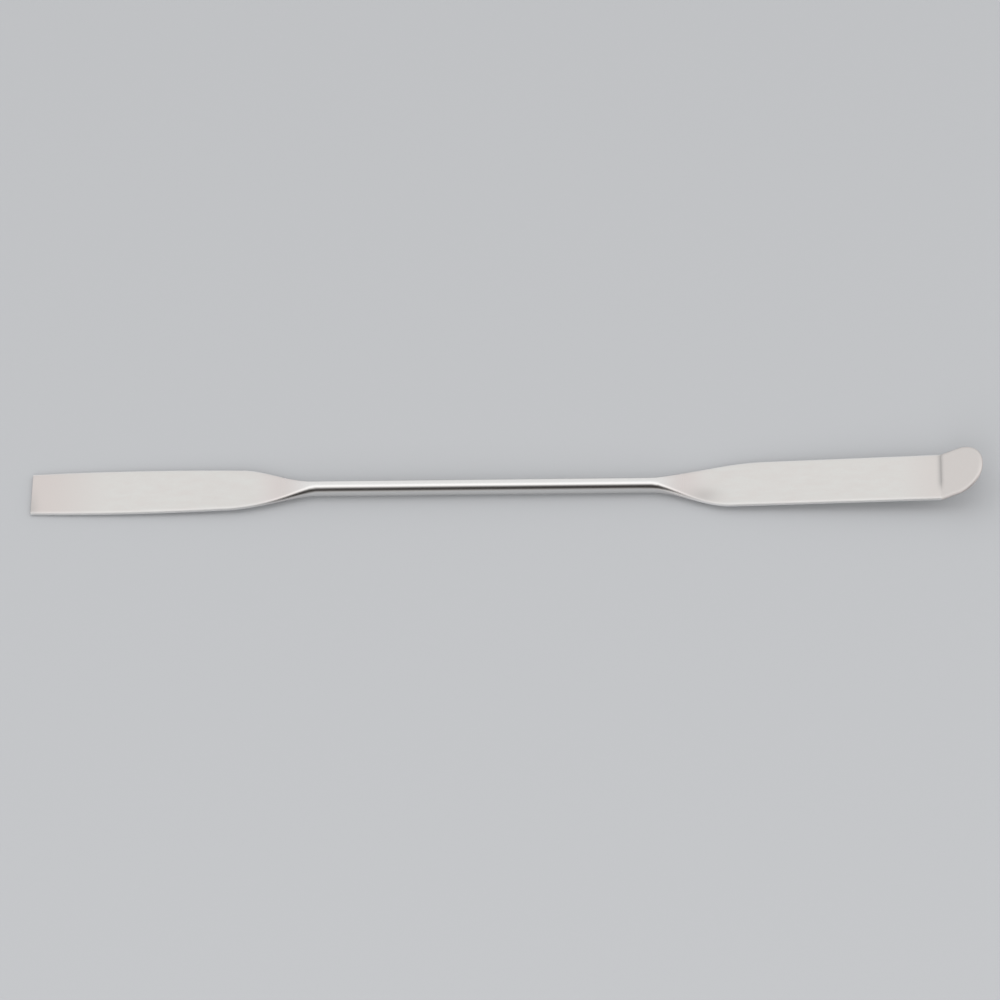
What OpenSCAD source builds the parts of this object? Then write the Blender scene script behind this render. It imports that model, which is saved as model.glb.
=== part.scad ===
// Laboratory spatula: one round steel rod with both ends pressed into flat blades.
// The left blade ends in a square cut. The right blade has a crease near its end,
// and the tip beyond the crease is bent up and rounded like half a disc.
// x runs along the rod to the right, y runs to the back and z runs up. Lengths are in millimetres.
// The rod lies on the plane z = 0, and so does the lower corner of the square cut end.

/* [Rod] */
// Length of the whole spatula, from the square cut to the front of the bent tip
overall_length = 185; // [150:1:230]
// Diameter of the round rod
rod_d = 3.1; // [2.4:0.1:4]
// Thickness of both blades
blade_t = 0.8; // [0.6:0.05:1.2]
// How far the rounding of the blades' edges reaches in from each side
edge_reach = 0.7; // [0.4:0.05:1.2]

/* [Left blade] */
// Length of the left blade with its neck
left_length = 55.8; // [45:0.1:65]
// Width of the left blade where its neck ends
left_root_w = 9.34; // [8:0.1:12]
// Width of the left blade at the square cut
left_end_w = 9.5; // [8:0.1:12]
// How much wider the middle of the left blade is than its ends
left_belly = 0.7; // [0:0.05:1]
// Length over which the back edge of the left neck spreads
left_back_flare = 14.9; // [12:0.1:22]
// Length over which the front edge of the left neck spreads
left_front_flare = 18.4; // [12:0.1:22]
// How early the left back edge spreads: 1 is even, and less is earlier
left_back_bias = 1.07; // [0.7:0.01:1.2]
// How early the left front edge spreads
left_front_bias = 0.83; // [0.7:0.01:1.2]
// Length over which the left neck thins from the rod to the blade
left_press = 14; // [10:0.5:18]

/* [Right blade] */
// Length of the right blade with its neck, from the rod to the crease
right_length = 56.2; // [45:0.1:65]
// Width of the right blade where its neck ends
right_root_w = 10.2; // [8:0.1:12]
// Width of the right blade at the crease, and of the bent tip
right_crease_w = 10.6; // [9:0.1:13]
// Length over which the back edge of the right neck spreads
right_back_flare = 22.4; // [14:0.1:26]
// Length over which the front edge of the right neck spreads
right_front_flare = 15.9; // [12:0.1:22]
// How early the right back edge spreads: 1 is even, and less is earlier
right_back_bias = 0.73; // [0.7:0.01:1.2]
// How early the right front edge spreads
right_front_bias = 0.97; // [0.7:0.01:1.2]
// Length over which the right neck thins from the rod to the blade
right_press = 13; // [10:0.5:18]
// Angle at which the right blade climbs away from the rod's line
right_climb = 2.5; // [0:0.1:5]
// Depth of the right blade's root below the rod's axis
right_dip = 0.3; // [0:0.05:0.7]

/* [Bent tip] */
// Length of the tip along its slope, from the crease to its front
tip_length = 9.3; // [7:0.1:14]
// Slope of the tip above level
tip_slope = 32; // [15:0.5:45]
// Radius of the inside of the crease
crease_r = 0.5; // [0.3:0.05:1]

/* [Hidden] */
rod_r = rod_d / 2;
half_t = blade_t / 2;
// Straight pieces in each rounded side of a section, in each neck, blade and crease
side_steps = 10;
neck_steps = 18;
blade_steps = 4;
crease_steps = 4;
// Angle between the points of the rounded tip
nose_step = 7.5;
// How the thinning of a neck starts at the rod, and how it eases out: 1 and 1 are a plain wedge
press_start = 1.4;
press_ease = 3.6;

// Each neck starts as a short collar of flats that closes round the rod, a hair proud of it.
// It is made with some length to spare, and squared off
collar_gap = 0.004;
collar_length = 0.4;
collar_spare = 0.3;
collar_half = rod_r + collar_gap;
collar_corner = 180 / (2 * side_steps + 2);
collar_r = collar_half / cos(collar_corner);
axis_z = collar_half;

// The left blade drops just enough for its lower corner to reach z = 0
left_drop = asin(axis_z / norm([left_length, half_t])) - atan2(half_t, left_length);
left_reach = left_length * cos(left_drop) + half_t * sin(left_drop);

// Height of the right blade's middle plane over the line it climbs along
right_offset = -(right_dip + right_press * sin(right_climb)) / cos(right_climb);
crease_turn = tip_slope - right_climb;
crease_mid_r = crease_r + half_t;
crease_tangent = crease_mid_r * tan(crease_turn / 2);
tip_half = right_crease_w / 2;
nose_start = tip_length - tip_half;
right_reach = right_length * cos(right_climb) - right_offset * sin(right_climb)
    + (tip_length - edge_reach) * cos(tip_slope)
    + norm([edge_reach * cos(tip_slope), half_t * sin(tip_slope)]);

rod_length = overall_length - left_reach - right_reach;
rod_start = left_reach - overall_length / 2;

function smooth(s) = s * s * (3 - 2 * s);
function share(u, from, to) = max(0, min(1, (u - from) / (to - from)));

// Half the width of one side at the distance u from the rod
function side_half(u, flare, bias, root_half, end_half, belly, length) =
    let (s = share(u, flare, length))
    collar_r + (root_half - collar_r) * smooth(pow(share(u, 0, flare), bias))
    + (end_half - root_half) * s + belly * 2 * s * (1 - s);

// A measure of the section that goes from the rod's radius to the blade's own value as the neck thins
function pressed(u, press, value) =
    value + (collar_half - value) * pow(1 - pow(share(u, 0, press), press_start), press_ease);

// Middle line of a neck: it leaves the rod along the rod's slope and ends level at the blade's offset
function neck_z(u, press, slope, offset) =
    let (s = share(u, 0, press))
    s * (1 - s) * (1 - s) * press * tan(slope) + smooth(s) * offset;
function neck_turn(u, press, slope, offset) =
    let (s = share(u, 0, press))
    atan((1 - s) * (1 - 3 * s) * tan(slope) + 6 * s * (1 - s) * offset / press);

// One point of a section: u along the blade, y across it, w through its thickness
function place(u, z, turn, y, w) = [u - w * sin(turn), y, z + w * cos(turn)];

// One section, from the top of the back edge down, across, and up to the top of the front edge.
// b is half its thickness and c the reach of its rounded sides, which are half ellipses that stop
// short by the angle corner at their top and bottom
function ring(u, z, turn, back, front, b, c, corner = 0) = [
    for (side = [1, -1], i = [0:side_steps])
        let (
            a = side * (90 - corner) * (1 - 2 * i / side_steps),
            half = side > 0 ? back : front
        )
        place(u, z, turn, side * (half - c / cos(corner) * (1 - cos(a))), b / cos(corner) * sin(a))
];

// Sections of the collar, the neck and the blade
function blade_rings(length, end_u, back, front, root_half, end_half, belly, press, slope, offset) =
    let (
        flare_end = max(back[0], front[0]),
        stations = [
            for (i = [0:neck_steps]) flare_end * i / neck_steps,
            for (i = [1:blade_steps]) flare_end + (end_u - flare_end) * i / blade_steps
        ]
    )
    [
        let (u = -collar_length - collar_spare)
        ring(
            u * cos(slope), u * sin(slope), slope,
            collar_r, collar_r, collar_half, collar_half, collar_corner
        ),
        for (u = stations) ring(
            u,
            neck_z(u, press, slope, offset),
            neck_turn(u, press, slope, offset),
            side_half(u, back[0], back[1], root_half, end_half, belly, length),
            side_half(u, front[0], front[1], root_half, end_half, belly, length),
            pressed(u, press, half_t),
            pressed(u, press, edge_reach),
            collar_corner * (1 - share(u, 0, press))
        )
    ];

// Sections round the crease, after the blade's own last section
function crease_rings(u, z) = [
    for (i = [1:crease_steps])
        let (a = crease_turn * i / crease_steps)
        ring(
            u - crease_tangent + crease_mid_r * sin(a),
            z + crease_mid_r * (1 - cos(a)),
            a, tip_half, tip_half, half_t, edge_reach
        )
];

// One section of the rounded tip: the points at the angle a on both sides of its middle
function nose_ring(u, z, a) = [
    for (side = [1, -1], i = [0:side_steps])
        let (
            e = side * (90 - i * 180 / side_steps),
            r = tip_half - edge_reach * (1 - cos(e)),
            s = nose_start + r * cos(a)
        )
        place(
            u + s * cos(crease_turn), z + s * sin(crease_turn),
            crease_turn, side * r * sin(a), half_t * sin(e)
        )
];
function nose_rings(u, z) = [
    for (a = [90, each [90 - nose_step / 2:-nose_step:nose_step / 2]]) nose_ring(u, z, a)
];

// Skin over a row of sections. The last one closes with level strips, which suit a flat or a round end
module skin(rings) {
    count = len(rings[0]);
    last = (len(rings) - 1) * count;
    points = [for (one = rings, p = one) p];
    sides = [
        for (j = [0:len(rings) - 2], i = [0:count - 1])
            let (
                a = j * count + i,
                b = j * count + (i + 1) % count
            )
            each [[a, b, b + count], [a, b + count, a + count]]
    ];
    end_strips = [
        for (i = [0:side_steps - 1])
            [last + i, last + i + 1, last + count - 2 - i, last + count - 1 - i]
    ];
    start = [[for (i = [count - 1:-1:0]) i]];
    polyhedron(points = points, faces = concat(start, sides, end_strips));
}

module rod() {
    translate([rod_start + collar_length / 2, 0, axis_z])
        rotate([0, 90, 0])
            cylinder(h = rod_length - collar_length, r = rod_r, $fn = 96);
}

module left_end() {
    translate([rod_start, 0, axis_z])
        rotate([0, 0, 180])
            rotate([0, left_drop, 0])
                skin(blade_rings(
                    left_length, left_length,
                    [left_front_flare, left_front_bias], [left_back_flare, left_back_bias],
                    left_root_w / 2, left_end_w / 2, left_belly, left_press, left_drop, 0
                ));
}

module right_end() {
    translate([rod_start + rod_length, 0, axis_z])
        rotate([0, -right_climb, 0])
            skin(concat(
                blade_rings(
                    right_length, right_length - crease_tangent,
                    [right_back_flare, right_back_bias], [right_front_flare, right_front_bias],
                    right_root_w / 2, tip_half, 0, right_press, -right_climb, right_offset
                ),
                crease_rings(right_length, right_offset),
                nose_rings(right_length, right_offset)
            ));
}

module squared_ends() {
    difference() {
        union() {
            left_end();
            right_end();
        }
        translate([rod_start + collar_length, -rod_d, axis_z - rod_d])
            cube([rod_length - 2 * collar_length, 2 * rod_d, 2 * rod_d]);
    }
}

module spatula() {
    color("silver")
        union() {
            rod();
            squared_ends();
        }
}

spatula();
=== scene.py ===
"""Laboratory spatula: one round steel rod with both ends pressed into flat blades.

The mesh is lofted through cross-sections: the left blade with its square cut, the left neck, the
rod, the right neck, the right blade, the crease and the rounded tip that is bent up. Lengths are
in metres, x runs along the rod, y across the blades towards the back, and z up.
"""

import math
from collections import namedtuple

import bpy
from bpy.props import FloatProperty, FloatVectorProperty, PointerProperty
from mathutils import Matrix, Vector, noise


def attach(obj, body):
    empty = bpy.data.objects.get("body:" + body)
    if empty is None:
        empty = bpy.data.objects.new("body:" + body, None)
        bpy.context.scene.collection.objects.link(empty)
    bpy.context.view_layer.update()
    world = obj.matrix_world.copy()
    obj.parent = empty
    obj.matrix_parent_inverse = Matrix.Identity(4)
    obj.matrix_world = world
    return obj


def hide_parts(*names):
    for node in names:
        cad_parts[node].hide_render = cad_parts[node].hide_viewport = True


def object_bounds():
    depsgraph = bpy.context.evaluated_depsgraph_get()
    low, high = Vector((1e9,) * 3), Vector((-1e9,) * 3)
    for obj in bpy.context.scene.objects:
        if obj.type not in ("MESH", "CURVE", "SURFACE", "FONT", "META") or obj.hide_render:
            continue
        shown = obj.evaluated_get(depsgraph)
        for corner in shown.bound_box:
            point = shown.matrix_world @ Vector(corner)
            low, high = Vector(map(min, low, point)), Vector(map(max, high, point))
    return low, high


bl_info = {
    "name": "Laboratory spatula",
    "version": (1, 0, 0),
    "blender": (4, 5, 0),
    "location": "View3D > Sidebar > Spatula",
    "description": "Builds a double-ended steel spatula with its finish and a plain studio",
    "category": "Add Mesh",
}

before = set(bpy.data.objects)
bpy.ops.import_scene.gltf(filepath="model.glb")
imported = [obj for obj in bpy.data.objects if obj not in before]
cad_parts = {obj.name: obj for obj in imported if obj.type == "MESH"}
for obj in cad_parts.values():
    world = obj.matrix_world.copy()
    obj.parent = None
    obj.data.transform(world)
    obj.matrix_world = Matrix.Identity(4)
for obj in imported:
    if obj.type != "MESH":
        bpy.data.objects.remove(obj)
CAD_LOW, CAD_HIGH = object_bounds()
NODE = "spatula"
PIECE_NAME = "pressed_steel_spatula"

# How finely the mesh follows the shape
FLAT_STEPS = 10
ROUND_STEPS = 20
NECK_STEPS = 64
BLADE_STEPS = 48
CREASE_STEPS = 14
TIP_STEPS = 10
NOSE_STEPS = 72
ROD_STEPS = 24
CUT_STEPS = 4

# While a section is still almost round, the points of its top wrap this far round its side. The
# wrap ends when the level part is this share of the rounding's reach
ROD_WRAP = math.radians(52)
WRAP_END = 0.15
# How sharply a face's flatness falls off round the edge
EDGE_FALL = 3

# Scales of the press's unevenness along and across the blades, and how far from its middle the upper
# and the lower face lie in it
DENTS_ALONG = 150
DENTS_ACROSS = 260
DENTS_APART = 4.0

# The painted shade along the crease: its half width, and how far its finer sections reach
CREASE_SHADE_WIDTH = 0.00056
CREASE_SHADE_REACH = 0.0012
CREASE_SHADE_STEPS = 9
# Across the blade, the crease's mark comes in between these shares of the half width
MARK_START = -0.74
MARK_FULL = -0.2

# From which distance along each blade its steel turns warmer, and by how much at its end
TINTS = {"left": (0.034, 0.9), "right": (0.043, 0.6)}
# Painted shade on the rim of the tip: how much of the warm colour it takes, which dims the light it
# mirrors
RIM_SHADE = 0.9
# A dull smudge on each blade: its place along and across, its reach both ways, and its strength
SMUDGES = {
    "left": (0.0558, -0.0044, 0.0012, 0.0040, 1.0),
    "right": (0.0101, -0.0027, 0.0030, 0.0018, 0.8),
}

# Scales of the grain's lines and peel, and of the mottling's patches and haze, along x, y and z
LINE_SCALE = (900, 16000, 1200)
PEEL_SCALE = (2600, 4200, 4200)
PATCH_SCALE = (55, 160, 160)
HAZE_SCALE = (330, 620, 620)
GRAIN_DEPTH = 0.00002
NOISE_MIDDLE = 0.5
# On the faces: the peel's share in the grain, the mottling's contrast, and how strongly its patches
# and its haze colour them
FACE_PEEL = 0.4
FACE_CONTRAST = 1.6
PATCH_STRENGTH = 0.45
HAZE_STRENGTH = 0.16
# How much rougher or smoother the haze makes the faces, and how nearly flat they are where it starts
HAZE_GLOSS = 0.03
HAZE_FROM = 0.8
# On the square cut: the peel's share, the contrast, and how much rougher or smoother the grain makes it
CUT_PEEL = 1.0
CUT_CONTRAST = 2.5
CUT_SCATTER = 0.06
# A Mix node's sockets for its two colours and for the result, after those for other kinds of data
FIRST_COLOUR, SECOND_COLOUR, MIXED_COLOUR = 6, 7, 2

# The floor's finish: how rough it is, how much it mirrors, and the scale and depth of its clouding
FLOOR_ROUGHNESS = 0.85
FLOOR_MIRROR = 0.15
CLOUD_SCALE = 1.5
CLOUD_SHADE = 0.97

# The soft light in front of the spatula
FILL_PLACE = Vector((0.0, -1.1, 0.75))
FILL_SIZE = 1.0

# The tent's shades: degrees round from the front horizon (0) over the top (90) to the back (180), how
# bright it is there, and how warm its light is
TENT_SHADES = (
    (0, 0.55, 0.02), (12, 0.45, 0.03), (25, 0.065, 0.10), (50, 0.05, 0.10), (67, 0.52, 0.03),
    (79, 1.14, 0.01), (90, 1.34, 0.01), (104, 1.24, 0.0), (117, 1.04, 0.0), (126, 1.00, 0.0),
    (150, 0.97, 0.0), (180, 0.95, 0.0),
)
# The front of the tent reaches up to the first of these angles and has faded out at the second
FRONT_FADE = math.radians(60)
FRONT_END = math.radians(76)
# The dark gap in the front fades out between these values of the direction's x, on the left and on
# the right, and beyond them the front is this bright
GAP_LEFT = (-0.12, -0.32)
GAP_RIGHT = (0.27, 0.45)
SIDE_LIGHT = 0.95
# How bright the front's shaded right part stays, and between which values of the direction's x the
# shade comes in
RIGHT_SHADE = 0.62
SHADE_START, SHADE_END = -0.12, 0.10


# ---------------------------------------------------------------- sizes, finish and studio


def length(name, description, default, **limits):
    """A length that a user can change."""
    return FloatProperty(
        name=name, description=description, default=default, unit="LENGTH",
        subtype="DISTANCE", precision=5, min=0.0, **limits,
    )


def angle(name, description, degrees):
    """An angle that a user can change."""
    return FloatProperty(
        name=name, description=description, default=math.radians(degrees),
        unit="ROTATION", subtype="ANGLE",
    )


def amount(name, description, default, top=1.0):
    """A plain number that a user can change."""
    return FloatProperty(name=name, description=description, default=default, min=0.0, max=top)


def colour(name, description, default):
    """A colour that a user can change."""
    return FloatVectorProperty(
        name=name, description=description, default=default, size=3,
        subtype="COLOR", min=0.0, max=1.0,
    )


class SpatulaSizes(bpy.types.PropertyGroup):
    """Sizes of the spatula. Its overall length and width come from the frame."""

    rod_diameter: length("Rod diameter", "Diameter of the round rod", 0.0031)
    rod_lift: length("Rod lift", "Gap that keeps the rod clear of the table", 0.000004)
    blade_thickness: length("Blade thickness", "Thickness of both blades", 0.0008)
    edge_reach: length("Edge rounding", "Reach of the rounding of the blades' edges", 0.0007)
    press_start: amount("Press start", "How softly the thinning starts at the rod", 1.4, 4.0)
    press_ease: amount("Press ease", "How softly the thinning ends at the blade", 3.6, 9.0)
    left_length: length("Left length", "Left blade with its neck", 0.0558)
    left_root_width: length("Left root width", "Width where the left neck ends", 0.00934)
    left_end_width: length("Left end width", "Width at the square cut", 0.0095)
    left_belly: length("Left belly", "Extra width of the left blade's middle", 0.0007)
    left_back_flare: length("Left back flare", "Reach of the left back edge's flare", 0.0149)
    left_front_flare: length("Left front flare", "Reach of the left front edge's flare", 0.0184)
    left_back_bias: amount("Left back bias", "How late the left back edge spreads", 1.07, 2.0)
    left_front_bias: amount("Left front bias", "How late the left front edge spreads", 0.83, 2.0)
    left_press: length("Left press", "Length over which the left neck thins", 0.014)
    cut_round: length("Cut rounding", "Rounding along the square cut", 0.00009)
    right_length: length("Right length", "From the rod to the crease", 0.0562)
    right_root_width: length("Right root width", "Width where the right neck ends", 0.0102)
    right_back_flare: length("Right back flare", "Reach of the right back edge's flare", 0.0224)
    right_front_flare: length("Right front flare", "Reach of the right front edge's flare", 0.0159)
    right_back_bias: amount("Right back bias", "How late the right back edge spreads", 0.73, 2.0)
    right_front_bias: amount("Right front bias", "How late the right front edge spreads", 0.97, 2.0)
    right_press: length("Right press", "Length over which the right neck thins", 0.013)
    right_climb: angle("Right climb", "How steeply the right blade climbs", 2.5)
    right_dip: length("Right dip", "Depth of the right root below the rod's axis", 0.0003)
    tip_length: length("Tip length", "Tip along its slope, from the crease", 0.009285)
    tip_slope: angle("Tip slope", "Slope of the tip above level", 32.0)
    crease_radius: length("Crease radius", "Radius of the inside of the crease", 0.0005)
    crease_mark: length("Crease mark", "Depth of the mark along the crease", 0.00004)
    relief: length("Relief", "Unevenness that the press left in the blades", 0.000012)


class SpatulaFinish(bpy.types.PropertyGroup):
    """Colours and gloss of the steel."""

    steel: colour("Rod", "Colour of the drawn rod", (0.76, 0.755, 0.745))
    blade: colour("Blades", "Colour of the pressed faces", (0.690, 0.688, 0.668))
    neck: colour("Necks", "Colour where the rod turns into the blades", (0.66, 0.615, 0.60))
    warm: colour("Warm patches", "Colour of the warmer patches", (0.64, 0.585, 0.565))
    haze: colour("Haze", "Colour of the dull film on the faces", (0.63, 0.62, 0.61))
    # Painted highlight: the brighter colour of the rounded edges stands in for the light they catch
    edge: colour("Edges", "Colour of the highlighted edges", (0.82, 0.82, 0.82))
    # Painted shade: the darker colour of the crease stands in for the shadow that falls in it
    shadow: colour("Crease", "Colour of the steel in the crease", (0.455, 0.44, 0.43))
    smudge: colour("Smudges", "Colour of the dull smudges", (0.525, 0.50, 0.485))
    cut: colour("Square cut", "Colour of the hazy spots on the sheared end", (0.62, 0.61, 0.60))
    rod_gloss: amount("Rod roughness", "Roughness of the drawn rod", 0.14)
    blade_gloss: amount("Blade roughness", "Roughness of the pressed blades", 0.44)
    edge_gloss: amount("Edge roughness", "What the edges add to the roughness", 0.06)
    cut_gloss: amount("Cut roughness", "Roughness of the sheared end", 0.42)
    grain: amount("Grain", "Strength of the fine grain along the steel", 0.12)
    cut_grain: amount("Cut grain", "Strength of the grain on the sheared end", 0.35)


class SpatulaStudio(bpy.types.PropertyGroup):
    """Floor, light and camera."""

    floor: colour("Floor", "Colour of the floor", (0.47, 0.48, 0.495))
    floor_size: length("Floor size", "Side of the square floor", 4.0)
    tent: amount("Tent", "Brightness of the light tent", 1.0, 10.0)
    fill: FloatProperty(
        name="Fill", description="Power of the soft light in front", default=8.0, unit="POWER"
    )
    azimuth: angle("Azimuth", "How far the camera stands to the right of the front", 5.0)
    elevation: angle("Elevation", "Height of the camera above the horizon", 55.0)
    roll: angle("Roll", "Roll of the camera", 4.7)
    distance: length("Distance", "Distance of the camera", 1.1659)
    aim_left: length("Aim left", "How far to the left the camera aims", 0.00098)
    aim_front: length("Aim front", "How far to the front the camera aims", 0.002062)
    lens: FloatProperty(
        name="Lens", description="Focal length", default=216.0, subtype="DISTANCE_CAMERA"
    )


# ---------------------------------------------------------------- cross-sections

# u runs outwards from the rod's end and h up from its axis; turn is the slope of the middle line.
# back and front are the half widths, half_t half the thickness, and reach that of the rounding.
# pressed goes from 0 on the rod to 1 on the blades. mark is the depth of the crease's mark and the
# field after it the strength of the painted shade along the crease, tint is how warm the steel is, and
# the last field how much of the painted highlight the edges take.
Section = namedtuple(
    "Section", "u h turn back front half_t reach pressed mark soot tint shine",
    defaults=(0.0, 0.0, 0.0, 1.0),
)


def smooth(s):
    """0 to 1 with level ends."""
    return s * s * (3 - 2 * s)


def share(u, start, end):
    """How far u is from start to end, kept within 0 and 1."""
    return max(0.0, min(1.0, (u - start) / (end - start)))


def steps(start, end, count):
    """Evenly spaced values from start to end, without start itself."""
    return [start + (end - start) * i / count for i in range(1, count + 1)]


class Blade:
    """The neck and blade at one end of the rod. Its measures are given at the distance u."""

    def __init__(self, sizes, side, end_half, climb, offset):
        self.radius = sizes.rod_diameter / 2
        self.half_t = sizes.blade_thickness / 2
        self.reach = sizes.edge_reach
        self.start = sizes.press_start
        self.ease = sizes.press_ease
        self.length = getattr(sizes, side + "_length")
        self.root_half = getattr(sizes, side + "_root_width") / 2
        self.back_flare = getattr(sizes, side + "_back_flare")
        self.front_flare = getattr(sizes, side + "_front_flare")
        self.back_bias = getattr(sizes, side + "_back_bias")
        self.front_bias = getattr(sizes, side + "_front_bias")
        self.press = getattr(sizes, side + "_press")
        self.belly = sizes.left_belly if side == "left" else 0.0
        self.tint_start, self.tint = TINTS[side]
        self.smudge = SMUDGES[side]
        self.end_half = end_half
        self.climb = climb
        self.offset = offset

    def half_width(self, u, flare, bias):
        """How far one edge is from the middle: it flares out, and then runs on to the end's width."""
        s = share(u, flare, self.length)
        spread = smooth(share(u, 0, flare) ** bias)
        bulge = (self.end_half - self.root_half) * s + self.belly * 2 * s * (1 - s)
        return self.radius + (self.root_half - self.radius) * spread + bulge

    def pressed(self, u, value):
        """A measure of the section, which goes from the rod's radius to the blade's value."""
        thinned = 1 - share(u, 0, self.press) ** self.start
        return value + (self.radius - value) * thinned ** self.ease

    def height(self, u):
        """Height of the middle line, which starts along the rod and ends level with the blade."""
        s = share(u, 0, self.press)
        return smooth(s) * self.offset - s * (1 - s) ** 2 * self.press * math.tan(self.climb)

    def turn(self, u):
        """Slope of the middle line."""
        s = share(u, 0, self.press)
        rod_part = (1 - s) * (1 - 3 * s) * math.tan(self.climb)
        return math.atan(6 * s * (1 - s) * self.offset / self.press - rod_part)

    def section(self, u, inset=0.0):
        """The section at u. An inset draws it in all round, for the rounding of a cut."""
        return Section(
            u, self.height(u), self.turn(u),
            back=self.half_width(u, self.back_flare, self.back_bias) - inset,
            front=self.half_width(u, self.front_flare, self.front_bias) - inset,
            half_t=self.pressed(u, self.half_t) - inset,
            reach=self.pressed(u, self.reach) - inset,
            pressed=smooth(share(u, 0, self.press)),
            tint=self.tint * smooth(share(u, self.tint_start, self.length)),
        )

    def smudged(self, u, y):
        """How dull the blade is at u along it and y across it."""
        along, across, reach_along, reach_across, strength = self.smudge
        away = ((u - along) / reach_along) ** 2 + ((y - across) / reach_across) ** 2
        return strength * math.exp(-away)

    def sections(self, end_u):
        """The neck's sections, and then the blade's as far as end_u."""
        flare_end = max(self.back_flare, self.front_flare)
        stations = steps(0.0, flare_end, NECK_STEPS) + steps(flare_end, end_u, BLADE_STEPS)
        return [self.section(u) for u in stations]


class Placer:
    """Turns a point of a section into the frame's coordinates.

    outwards is 1 for +x and -1 for -x, and smudged tells how dull the steel is at u and y.
    """

    def __init__(self, hinge, outwards, climb, smudged):
        self.hinge = hinge
        self.outwards = outwards
        self.climb = climb
        self.smudged = smudged

    def __call__(self, section, s, y, w):
        """The point s along the middle line, y across and w up through the section's thickness."""
        u = section.u + s * math.cos(section.turn) - w * math.sin(section.turn)
        h = section.h + s * math.sin(section.turn) + w * math.cos(section.turn)
        x = u * math.cos(self.climb) - h * math.sin(self.climb)
        z = u * math.sin(self.climb) + h * math.cos(self.climb)
        return Vector((self.hinge.x + self.outwards * x, y, self.hinge.z + z))


def half_profile(half, section):
    """Points (y, w, flat) of one side of a section, from the middle of its top to that of its bottom.

    flat is 1 on the faces and falls to 0 at the middle of the edge.
    """
    level = half - section.reach
    wrap = ROD_WRAP * (1 - share(level, 0, WRAP_END * section.reach))
    points = []
    for i in range(FLAT_STEPS + 1):
        a = math.pi / 2 - wrap * i / FLAT_STEPS
        y = level * i / FLAT_STEPS + section.reach * math.cos(a)
        points.append((y, section.half_t * math.sin(a), 1.0))
    bottom = [(y, -w, flat) for y, w, flat in reversed(points)]
    for i in range(1, ROUND_STEPS):
        a = (math.pi / 2 - wrap) * (1 - 2 * i / ROUND_STEPS)
        y = level + section.reach * math.cos(a)
        points.append((y, section.half_t * math.sin(a), abs(math.sin(a)) ** EDGE_FALL))
    return points + bottom


def crease_share(y, half):
    """How full the crease's mark is at y: none near the front edge, all of it towards the back."""
    return smooth(share(y, MARK_START * half, MARK_FULL * half))


def halves(ring):
    """The back and the front half of a closed row, each from the middle of its top to its bottom's."""
    middle = len(ring) // 2
    return ring[: middle + 1], [ring[-k] for k in range(middle + 1)]


class Surface:
    """Collects the spatula's vertices and faces, and what its material reads at each vertex."""

    def __init__(self, relief):
        self.relief = relief
        self.points = []
        self.faces = []
        self.values = {"pressed": [], "edge": [], "crease": [], "tint": [], "smudge": []}
        self.cut_faces = []

    def add(self, place, section, s, y, w, flat):
        """One vertex, with the unevenness of the press and the mark of the crease taken off it."""
        spot = place(section, s, y, w)
        cell = Vector((spot.x * DENTS_ALONG, spot.y * DENTS_ACROSS, math.copysign(DENTS_APART, w)))
        dent = self.relief * section.pressed * flat * (0.5 + 0.5 * noise.noise(cell))
        crease = crease_share(y, section.back) * flat if w > 0 else 0.0
        inwards = math.copysign(dent, w) + section.mark * crease
        self.points.append(place(section, s, y, w - inwards))
        self.values["pressed"].append(section.pressed)
        rim = (1 - flat) * section.pressed
        # The painted highlight on the rounded edges of the necks and blades
        self.values["edge"].append(rim * section.shine)
        # The painted shade along the crease
        self.values["crease"].append(section.soot * crease)
        # The steel's warmth, and painted shade on the tip's rim, where the edges have no painted
        # highlight
        self.values["tint"].append(max(section.tint, rim * (1 - section.shine) * RIM_SHADE))
        self.values["smudge"].append(place.smudged(section.u, y) if w > 0 else 0.0)
        return len(self.points) - 1

    def ring(self, place, section):
        """A closed row of vertices round a section: the back half, and then the front half."""
        back = [self.add(place, section, 0.0, *p) for p in half_profile(section.back, section)]
        front_profile = half_profile(section.front, section)[1:-1]
        front = [self.add(place, section, 0.0, -y, w, flat) for y, w, flat in front_profile]
        return back + front[::-1]

    def add_face(self, *corners):
        """One face. A corner that is named twice counts once, which leaves a triangle."""
        self.faces.append(tuple(dict.fromkeys(corners)))

    def join(self, ring, following):
        """Faces between two rows, the second further along x."""
        for i, point in enumerate(ring):
            j = (i + 1) % len(ring)
            self.add_face(point, following[i], following[j], ring[j])

    def close_cut(self, ring):
        """The flat face of the square cut, in strips between its top and its bottom."""
        back, front = halves(ring)
        bottom = len(back) - 1
        for k in range(bottom // 2):
            strips = (
                (back[k], back[k + 1], back[bottom - k - 1], back[bottom - k]),
                (front[k + 1], front[k], front[bottom - k], front[bottom - k - 1]),
            )
            for strip in strips:
                self.cut_faces.append(len(self.faces))
                self.add_face(*strip)

    def close_nose(self, ring, place, section):
        """The half disc at the front of the tip, in spokes round the middle of its last section."""
        spoke, last = halves(ring)
        between = half_profile(section.back, section)[1:-1]
        for j in range(1, NOSE_STEPS + 1):
            following = last
            if j < NOSE_STEPS:
                a = math.pi / 2 - math.pi * j / NOSE_STEPS
                added = [
                    self.add(place, section, y * math.cos(a), y * math.sin(a), w, flat)
                    for y, w, flat in between
                ]
                following = [spoke[0], *added, spoke[-1]]
            for k in range(len(spoke) - 1):
                self.add_face(spoke[k], following[k], following[k + 1], spoke[k + 1])
            spoke = following


# ---------------------------------------------------------------- the spatula's mesh


def rod_section(x, radius):
    """A round section of the rod at x."""
    return Section(x, 0.0, 0.0, radius, radius, half_t=radius, reach=radius, pressed=0.0)


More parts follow.
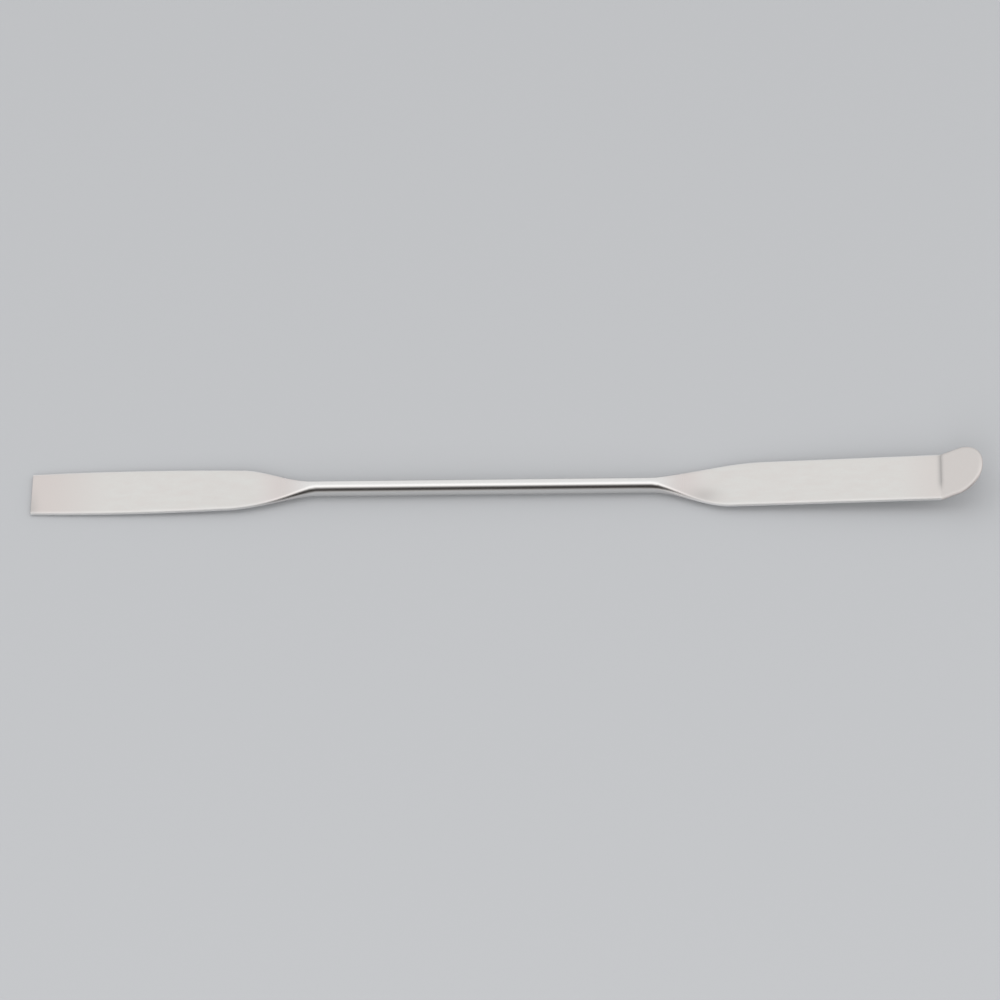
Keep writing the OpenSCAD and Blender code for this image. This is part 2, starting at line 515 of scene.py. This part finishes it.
def cut_sections(blade, rounding):
    """Sections of the rounding along the square cut, from the cut inwards."""
    angles = [math.pi / 2 * i / CUT_STEPS for i in range(CUT_STEPS)]
    return [
        blade.section(blade.length - rounding * (1 - math.cos(a)), rounding * (1 - math.sin(a)))
        for a in angles
    ]


def crease_shading(distance):
    """How strong the painted shade along the crease is at this distance from its middle."""
    return math.exp(-((distance / CREASE_SHADE_WIDTH) ** 2))


def tip_sections(sizes, blade, turn_all):
    """The bend's reach, and the sections before it, round it and up the tip to its rounded front."""
    middle_radius = sizes.crease_radius + blade.half_t
    tangent = middle_radius * math.tan(turn_all / 2)
    half_arc = middle_radius * turn_all / 2
    plain = blade.section(blade.length)
    before = []
    for u in steps(blade.length - tangent - CREASE_SHADE_REACH, blade.length - tangent, CREASE_SHADE_STEPS):
        # The crease's painted shade comes in over these finer sections before the bend
        soot = crease_shading(blade.length - tangent - u + half_arc)
        before.append(blade.section(u)._replace(soot=soot))
    crease = []
    for i in range(1, CREASE_STEPS + 1):
        a = turn_all * i / CREASE_STEPS
        u = blade.length - tangent + middle_radius * math.sin(a)
        h = blade.offset + middle_radius * (1 - math.cos(a))
        mark = sizes.crease_mark * math.sin(math.pi * i / CREASE_STEPS)
        # The crease's painted shade is strongest at the middle of the bend, and the edges' painted
        # highlight fades out round it
        soot = crease_shading(half_arc - middle_radius * a)
        shine = 1 - i / CREASE_STEPS
        crease.append(plain._replace(u=u, h=h, turn=a, mark=mark, soot=soot, shine=shine))
    tip = []
    tip_end = sizes.tip_length - blade.end_half
    stations = steps(tangent, tangent + CREASE_SHADE_REACH, CREASE_SHADE_STEPS)
    for s in stations + steps(stations[-1], tip_end, TIP_STEPS):
        u = blade.length + s * math.cos(turn_all)
        h = blade.offset + s * math.sin(turn_all)
        # On the tip the crease's painted shade fades out, and its edges get no painted highlight
        soot = crease_shading(s - tangent + half_arc)
        tip.append(plain._replace(u=u, h=h, turn=turn_all, soot=soot, shine=0.0))
    return tangent, before + crease + tip


def left_drop(sizes):
    """Angle at which the left blade drops, so that its lower corner touches the table."""
    half_t = sizes.blade_thickness / 2
    corner = math.hypot(sizes.left_length, half_t)
    axis_height = sizes.rod_diameter / 2 + sizes.rod_lift
    return math.asin(axis_height / corner) - math.atan2(half_t, sizes.left_length)


def left_reach(sizes, drop):
    """Distance along x from the rod's left end to the square cut."""
    return sizes.left_length * math.cos(drop) + sizes.blade_thickness / 2 * math.sin(drop)


def right_reach(sizes, offset):
    """Distance along x from the rod's right end to the front of the tip."""
    climb, slope = sizes.right_climb, sizes.tip_slope
    crease = sizes.right_length * math.cos(climb) - offset * math.sin(climb)
    rounding = math.hypot(
        sizes.edge_reach * math.cos(slope), sizes.blade_thickness / 2 * math.sin(slope)
    )
    return crease + (sizes.tip_length - sizes.edge_reach) * math.cos(slope) + rounding


def spatula_surface(sizes):
    """The whole spatula as one skin, from the square cut to the front of the bent tip."""
    radius = sizes.rod_diameter / 2
    axis_height = CAD_LOW.z + radius + sizes.rod_lift
    drop = left_drop(sizes)
    climb = sizes.right_climb
    dip = sizes.right_dip + sizes.right_press * math.sin(climb)
    offset = -dip / math.cos(climb)
    left_hinge = Vector((CAD_LOW.x + left_reach(sizes, drop), 0.0, axis_height))
    right_hinge = Vector((CAD_HIGH.x - right_reach(sizes, offset), 0.0, axis_height))

    left = Blade(sizes, "left", sizes.left_end_width / 2, -drop, 0.0)
    right = Blade(sizes, "right", CAD_HIGH.y, climb, offset)
    place_left = Placer(left_hinge, -1, -drop, left.smudged)
    place_rod = Placer(Vector((0.0, 0.0, axis_height)), 1, 0.0, lambda u, y: 0.0)
    place_right = Placer(right_hinge, 1, climb, right.smudged)

    surface = Surface(sizes.relief)
    cut = cut_sections(left, sizes.cut_round)
    left_side = left.sections(left.length - sizes.cut_round)
    tangent, tip = tip_sections(sizes, right, sizes.tip_slope - climb)
    right_side = right.sections(right.length - tangent - CREASE_SHADE_REACH) + tip
    rod = [left_hinge.x] + steps(left_hinge.x, right_hinge.x, ROD_STEPS)

    rings = [surface.ring(place_left, section) for section in cut + left_side[::-1]]
    rings += [surface.ring(place_rod, rod_section(x, radius)) for x in rod]
    rings += [surface.ring(place_right, section) for section in right_side]
    surface.close_cut(rings[0])
    for ring, following in zip(rings, rings[1:]):
        surface.join(ring, following)
    surface.close_nose(rings[-1], place_right, right_side[-1])
    return surface


# ---------------------------------------------------------------- steel


def node(tree, kind, at, **settings):
    """Adds a shader node. Settings are its own options."""
    made = tree.nodes.new(kind)
    made.location = at
    for key, value in settings.items():
        setattr(made, key, value)
    return made


def feed(tree, socket, value):
    """Sets a socket to a value, or links another node's output to it."""
    if isinstance(value, bpy.types.NodeSocket):
        tree.links.new(value, socket)
    elif socket.type == "RGBA":
        socket.default_value = (*value, 1.0)
    else:
        socket.default_value = value


def mix_colour(tree, at, factor, first, second, blend="MIX"):
    """Mixes two colours, each a colour or another node's output, by a factor."""
    mix = node(tree, "ShaderNodeMix", at, data_type="RGBA", blend_type=blend)
    feed(tree, mix.inputs["Factor"], factor)
    feed(tree, mix.inputs[FIRST_COLOUR], first)
    feed(tree, mix.inputs[SECOND_COLOUR], second)
    return mix.outputs[MIXED_COLOUR]


def map_range(tree, at, value, start=0.0, end=1.0, low=0.0, high=1.0, **settings):
    """Maps a value that goes from start to end onto the range from low to high."""
    mapped = node(tree, "ShaderNodeMapRange", at, **settings)
    limits = {"From Min": start, "From Max": end, "To Min": low, "To Max": high}
    for name, limit in limits.items():
        mapped.inputs[name].default_value = limit
    tree.links.new(value, mapped.inputs["Value"])
    return mapped.outputs["Result"]


def fade(tree, at, value, start, end):
    """A soft step from 0 at start to 1 at end."""
    return map_range(tree, at, value, start, end, interpolation_type="SMOOTHSTEP")


def calculate(tree, at, operation, *values, **settings):
    """One calculation, on values that are each a number or another node's output."""
    made = node(tree, "ShaderNodeMath", at, operation=operation, **settings)
    for socket, value in zip(made.inputs, values):
        feed(tree, socket, value)
    return made.outputs["Value"]


def group_sockets(group, inputs, outputs):
    """Gives a node group its named inputs, with their defaults, and its named outputs."""
    for name, default in inputs.items():
        socket = group.interface.new_socket(name, in_out="INPUT", socket_type="NodeSocketFloat")
        socket.default_value = default
    for name in outputs:
        group.interface.new_socket(name, in_out="OUTPUT", socket_type="NodeSocketFloat")


def stretched_noise(tree, source, at, stretch, detail):
    """Noise over the object's own coordinates, stretched by a scale for each axis."""
    mapping = node(tree, "ShaderNodeMapping", at)
    mapping.inputs["Scale"].default_value = stretch
    cloud = node(tree, "ShaderNodeTexNoise", (at[0] + 200, at[1]), noise_dimensions="3D")
    cloud.inputs["Detail"].default_value = detail
    tree.links.new(source.outputs["Object"], mapping.inputs["Vector"])
    tree.links.new(mapping.outputs["Vector"], cloud.inputs["Vector"])
    return cloud.outputs["Fac"]


def steel_grain_group():
    """Fine lines along the steel, from its polishing, and the orange-peel of the press between them."""
    group = bpy.data.node_groups.new("Steel grain", "ShaderNodeTree")
    group_sockets(group, {"Lines": 1.0, "Peel": FACE_PEEL}, ("Height", "Scatter"))
    start = node(group, "NodeGroupInput", (-800, 0))
    end = node(group, "NodeGroupOutput", (700, 0))
    source = node(group, "ShaderNodeTexCoord", (-800, 300))
    lines = stretched_noise(group, source, (-500, 300), LINE_SCALE, 3.0)
    peel = stretched_noise(group, source, (-500, -100), PEEL_SCALE, 2.0)
    lined = calculate(group, (-100, 150), "MULTIPLY", start.outputs["Lines"], lines)
    peeled = calculate(group, (-100, -100), "MULTIPLY", start.outputs["Peel"], peel)
    total = calculate(group, (150, 50), "ADD", lined, peeled)
    group.links.new(total, end.inputs["Height"])
    group.links.new(lines, end.inputs["Scatter"])
    return group


def steel_mottling_group():
    """Soft patches, which the handling and the heat of the press leave on steel."""
    group = bpy.data.node_groups.new("Steel mottling", "ShaderNodeTree")
    group_sockets(group, {"Contrast": 1.0}, ("Patches", "Haze"))
    start = node(group, "NodeGroupInput", (-600, -200))
    end = node(group, "NodeGroupOutput", (700, 0))
    source = node(group, "ShaderNodeTexCoord", (-800, 300))
    patches = stretched_noise(group, source, (-500, 300), PATCH_SCALE, 2.0)
    haze = stretched_noise(group, source, (-500, -100), HAZE_SCALE, 4.0)
    for name, cloud, at in (("Patches", patches, (100, 200)), ("Haze", haze, (100, -100))):
        centred = calculate(group, at, "SUBTRACT", cloud, NOISE_MIDDLE)
        spread = calculate(
            group, (at[0] + 180, at[1]), "MULTIPLY_ADD", centred, start.outputs["Contrast"],
            NOISE_MIDDLE, use_clamp=True,
        )
        group.links.new(spread, end.inputs[name])
    return group


def steel_base(name, grain_group, mottling_group, peel, contrast):
    """A new metal material with its shader, and with the grain and the mottling placed in it."""
    material = bpy.data.materials.new(name)
    material.use_nodes = True
    tree = material.node_tree
    shader = tree.nodes["Principled BSDF"]
    shader.inputs["Metallic"].default_value = 1.0
    grain = node(tree, "ShaderNodeGroup", (-900, -300), node_tree=grain_group)
    grain.inputs["Peel"].default_value = peel
    mottling = node(tree, "ShaderNodeGroup", (-900, 200), node_tree=mottling_group)
    mottling.inputs["Contrast"].default_value = contrast
    return material, tree, shader, grain, mottling


def lay_grain(tree, shader, grain, strength):
    """Lays the grain's height on the shader as a fine bump."""
    bump = node(tree, "ShaderNodeBump", (-200, -400))
    bump.inputs["Strength"].default_value = strength
    bump.inputs["Distance"].default_value = GRAIN_DEPTH
    tree.links.new(grain.outputs["Height"], bump.inputs["Height"])
    tree.links.new(bump.outputs["Normal"], shader.inputs["Normal"])


def satin_steel(finish, *groups):
    """Drawn rod that turns satin where it was pressed flat, with painted highlights on its edges and
    painted shade in its crease.
    """
    material, tree, shader, grain, mottling = steel_base(
        "satin_steel", *groups, FACE_PEEL, FACE_CONTRAST
    )
    pressed, edge, crease, tint, smudge = (
        node(tree, "ShaderNodeAttribute", (-900, 500 + 200 * i), attribute_name=name).outputs["Fac"]
        for i, name in enumerate(("pressed", "edge", "crease", "tint", "smudge"))
    )

    # pressed goes from 0 to 1 through a neck, so this sine is 1 halfway and 0 on rod and blades
    half_turn = map_range(tree, (-650, 650), pressed, high=math.pi)
    necked = calculate(tree, (-450, 650), "SINE", half_turn)
    face = mix_colour(tree, (-650, 500), pressed, finish.steel, finish.blade)
    face = mix_colour(tree, (-450, 500), necked, face, finish.neck)
    patchy = map_range(tree, (-650, 350), mottling.outputs["Patches"], high=PATCH_STRENGTH)
    warmth = calculate(tree, (-450, 350), "MULTIPLY", patchy, pressed)
    # tint also brings in the painted shade on the tip's rim
    warmth = calculate(tree, (-450, 200), "MAXIMUM", warmth, tint)
    tinted = mix_colour(tree, (-250, 300), warmth, face, finish.warm)
    haze = map_range(tree, (-650, 100), mottling.outputs["Haze"], high=HAZE_STRENGTH)
    clouded = mix_colour(tree, (-50, 250), haze, tinted, finish.haze)
    clouded = mix_colour(tree, (50, 250), smudge, clouded, finish.smudge)
    # Painted highlight: the rounded edges are brightened towards the edge colour
    bright = mix_colour(tree, (150, 300), edge, clouded, finish.edge)
    # Painted shade: the crease is darkened towards the crease colour
    base = mix_colour(tree, (350, 350), crease, bright, finish.shadow)
    tree.links.new(base, shader.inputs["Base Color"])

    satin = map_range(tree, (-650, -100), pressed, low=finish.rod_gloss, high=finish.blade_gloss)
    worn = map_range(tree, (-650, 800), edge, high=finish.edge_gloss)
    uneven = map_range(tree, (-650, -300), mottling.outputs["Haze"], low=-HAZE_GLOSS, high=HAZE_GLOSS)
    flattened = fade(tree, (-650, -500), pressed, HAZE_FROM, 1.0)
    uneven = calculate(tree, (-450, -400), "MULTIPLY", uneven, flattened)
    roughness = calculate(tree, (-400, -50), "ADD", satin, worn)
    roughness = calculate(tree, (-200, -50), "ADD", roughness, uneven)
    tree.links.new(roughness, shader.inputs["Roughness"])
    lay_grain(tree, shader, grain, finish.grain)
    return material


def sheared_steel(finish, *groups):
    """The bare metal of the square cut, with a coarser grain than the faces."""
    material, tree, shader, grain, mottling = steel_base(
        "sheared_steel", *groups, CUT_PEEL, CUT_CONTRAST
    )
    base = mix_colour(tree, (-400, 250), mottling.outputs["Haze"], finish.warm, finish.cut)
    tree.links.new(base, shader.inputs["Base Color"])
    low, high = finish.cut_gloss - CUT_SCATTER, finish.cut_gloss + CUT_SCATTER
    roughness = map_range(tree, (-400, 0), grain.outputs["Scatter"], low=low, high=high)
    tree.links.new(roughness, shader.inputs["Roughness"])
    lay_grain(tree, shader, grain, finish.cut_grain)
    return material


# ---------------------------------------------------------------- studio


def pale_floor(studio):
    """A plain pale floor under the spatula."""
    half = studio.floor_size / 2
    corners = [(-half, -half, 0.0), (half, -half, 0.0), (half, half, 0.0), (-half, half, 0.0)]
    mesh = bpy.data.meshes.new("pale_floor")
    mesh.from_pydata(corners, [], [(0, 1, 2, 3)])
    floor = bpy.data.objects.new("pale_floor", mesh)
    floor.location.z = CAD_LOW.z
    bpy.context.collection.objects.link(floor)
    material = bpy.data.materials.new("pale_floor")
    material.use_nodes = True
    tree = material.node_tree
    shader = tree.nodes["Principled BSDF"]
    shader.inputs["Roughness"].default_value = FLOOR_ROUGHNESS
    shader.inputs["Specular IOR Level"].default_value = FLOOR_MIRROR
    cloud = node(tree, "ShaderNodeTexNoise", (-500, 0))
    cloud.inputs["Scale"].default_value = CLOUD_SCALE
    darker = [CLOUD_SHADE * part for part in studio.floor]
    shade = mix_colour(tree, (-250, 0), cloud.outputs["Fac"], studio.floor, darker)
    tree.links.new(shade, shader.inputs["Base Color"])
    mesh.materials.append(material)
    return floor


def light_tent(studio):
    """The light all round: a softbox overhead, pale tent walls and a dark gap at the front."""
    world = bpy.data.worlds.new("light_tent")
    world.use_nodes = True
    tree = world.node_tree
    background = tree.nodes["Background"]
    source = node(tree, "ShaderNodeTexCoord", (-1400, 0))
    axes = node(tree, "ShaderNodeSeparateXYZ", (-1200, 0))
    tree.links.new(source.outputs["Generated"], axes.inputs["Vector"])
    forwards = calculate(tree, (-1000, -150), "MULTIPLY", axes.outputs["Y"], -1.0)
    height = calculate(tree, (-800, 0), "ARCTAN2", axes.outputs["Z"], forwards)
    ramp = node(tree, "ShaderNodeValToRGB", (-350, 0))
    tree.links.new(map_range(tree, (-600, 0), height, end=math.pi), ramp.inputs["Fac"])
    elements = ramp.color_ramp.elements
    while len(elements) > 1:
        elements.remove(elements[-1])
    for i, (degrees, bright, warmth) in enumerate(TENT_SHADES):
        place = math.radians(degrees) / math.pi
        spot = elements[0] if i == 0 else elements.new(place)
        spot.position = place
        spot.color = (bright * (1 + warmth), bright, bright * (1 - warmth / 2), 1.0)
    front = fade(tree, (-600, -300), height, FRONT_END, FRONT_FADE)
    right = fade(tree, (-600, -600), axes.outputs["X"], SHADE_START, SHADE_END)
    left_side = fade(tree, (-600, -900), axes.outputs["X"], *GAP_LEFT)
    right_side = fade(tree, (-600, -1200), axes.outputs["X"], *GAP_RIGHT)
    shaded = calculate(tree, (-350, -450), "MULTIPLY", front, right)
    sides = calculate(tree, (-350, -1050), "MAXIMUM", left_side, right_side)
    sides = calculate(tree, (-200, -750), "MULTIPLY", front, sides)
    dimmed = mix_colour(
        tree, (-50, 0), shaded, ramp.outputs["Color"], (RIGHT_SHADE,) * 3, "MULTIPLY"
    )
    lit = mix_colour(tree, (150, 0), sides, dimmed, (SIDE_LIGHT,) * 3)
    tree.links.new(lit, background.inputs["Color"])
    background.inputs["Strength"].default_value = studio.tent
    bpy.context.scene.world = world


def front_fill(studio):
    """A soft light in front that lifts the shadow on the floor, and that the steel doesn't mirror."""
    data = bpy.data.lights.new("front_fill", "AREA")
    data.shape = "SQUARE"
    data.size = FILL_SIZE
    data.energy = studio.fill
    light = bpy.data.objects.new("front_fill", data)
    light.location = FILL_PLACE
    light.rotation_euler = FILL_PLACE.to_track_quat("Z", "Y").to_euler()
    light.visible_glossy = False
    bpy.context.collection.objects.link(light)


def place_camera(studio):
    """The camera, looking down at the spatula from the front."""
    data = bpy.data.cameras.new("camera")
    data.lens = studio.lens
    camera = bpy.data.objects.new("camera", data)
    bpy.context.collection.objects.link(camera)
    middle = (CAD_LOW + CAD_HIGH) / 2
    aim = Vector((middle.x - studio.aim_left, -studio.aim_front, CAD_LOW.z))
    turn = (
        Matrix.Rotation(studio.azimuth, 3, "Z")
        @ Matrix.Rotation(math.pi / 2 - studio.elevation, 3, "X")
        @ Matrix.Rotation(-studio.roll, 3, "Z")
    )
    camera.location = aim + studio.distance * turn.col[2]
    camera.rotation_euler = turn.to_euler()
    bpy.context.scene.camera = camera


# ---------------------------------------------------------------- operators, panel and registration


class SPATULA_OT_press_steel(bpy.types.Operator):
    """Builds the spatula and its two steel finishes, and puts it on the frame's body"""

    bl_idname = "spatula.press_steel"
    bl_label = "Pressed steel spatula"

    def execute(self, context):
        surface = spatula_surface(context.scene.spatula_sizes)
        mesh = bpy.data.meshes.new(PIECE_NAME)
        mesh.from_pydata(surface.points, [], surface.faces)
        if mesh.validate():
            raise RuntimeError("the spatula's mesh has faces that can't stand")
        for name, values in surface.values.items():
            layer = mesh.attributes.new(name, "FLOAT", "POINT")
            layer.data.foreach_set("value", values)
        finish = context.scene.spatula_finish
        groups = steel_grain_group(), steel_mottling_group()
        mesh.materials.append(satin_steel(finish, *groups))
        mesh.materials.append(sheared_steel(finish, *groups))
        mesh.shade_smooth()
        for index in surface.cut_faces:
            mesh.polygons[index].material_index = 1
        piece = bpy.data.objects.new(PIECE_NAME, mesh)
        context.collection.objects.link(piece)
        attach(piece, "root")
        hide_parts(NODE)
        return {"FINISHED"}


class SPATULA_OT_studio(bpy.types.Operator):
    """Sets up the pale floor, the light tent and the camera"""

    bl_idname = "spatula.studio"
    bl_label = "Studio"

    def execute(self, context):
        studio = context.scene.spatula_studio
        pale_floor(studio)
        light_tent(studio)
        front_fill(studio)
        place_camera(studio)
        context.scene.view_settings.view_transform = "Standard"
        return {"FINISHED"}


class SPATULA_PT_panel(bpy.types.Panel):
    """Lists the spatula's operators with their sizes, colours and light"""

    bl_idname = "SPATULA_PT_panel"
    bl_label = "Laboratory spatula"
    bl_space_type = "VIEW_3D"
    bl_region_type = "UI"
    bl_category = "Spatula"

    def draw(self, context):
        for operator, groups in OPERATORS:
            column = self.layout.column(align=True)
            column.operator(operator)
            for group in groups:
                settings = getattr(context.scene, group)
                for name in type(settings).__annotations__:
                    column.prop(settings, name)


OPERATORS = (
    (SPATULA_OT_press_steel.bl_idname, ("spatula_sizes", "spatula_finish")),
    (SPATULA_OT_studio.bl_idname, ("spatula_studio",)),
)
SETTINGS = {
    "spatula_sizes": SpatulaSizes,
    "spatula_finish": SpatulaFinish,
    "spatula_studio": SpatulaStudio,
}
CLASSES = (*SETTINGS.values(), SPATULA_OT_press_steel, SPATULA_OT_studio, SPATULA_PT_panel)


def register():
    """Registers the classes and their settings."""
    for cls in CLASSES:
        bpy.utils.register_class(cls)
    for name, group in SETTINGS.items():
        setattr(bpy.types.Scene, name, PointerProperty(type=group))


def unregister():
    """Undoes register."""
    for name in SETTINGS:
        delattr(bpy.types.Scene, name)
    for cls in reversed(CLASSES):
        bpy.utils.unregister_class(cls)


def main():
    """Builds the spatula and its studio."""
    register()
    bpy.ops.spatula.press_steel()
    bpy.ops.spatula.studio()


if __name__ == "__main__":
    main()
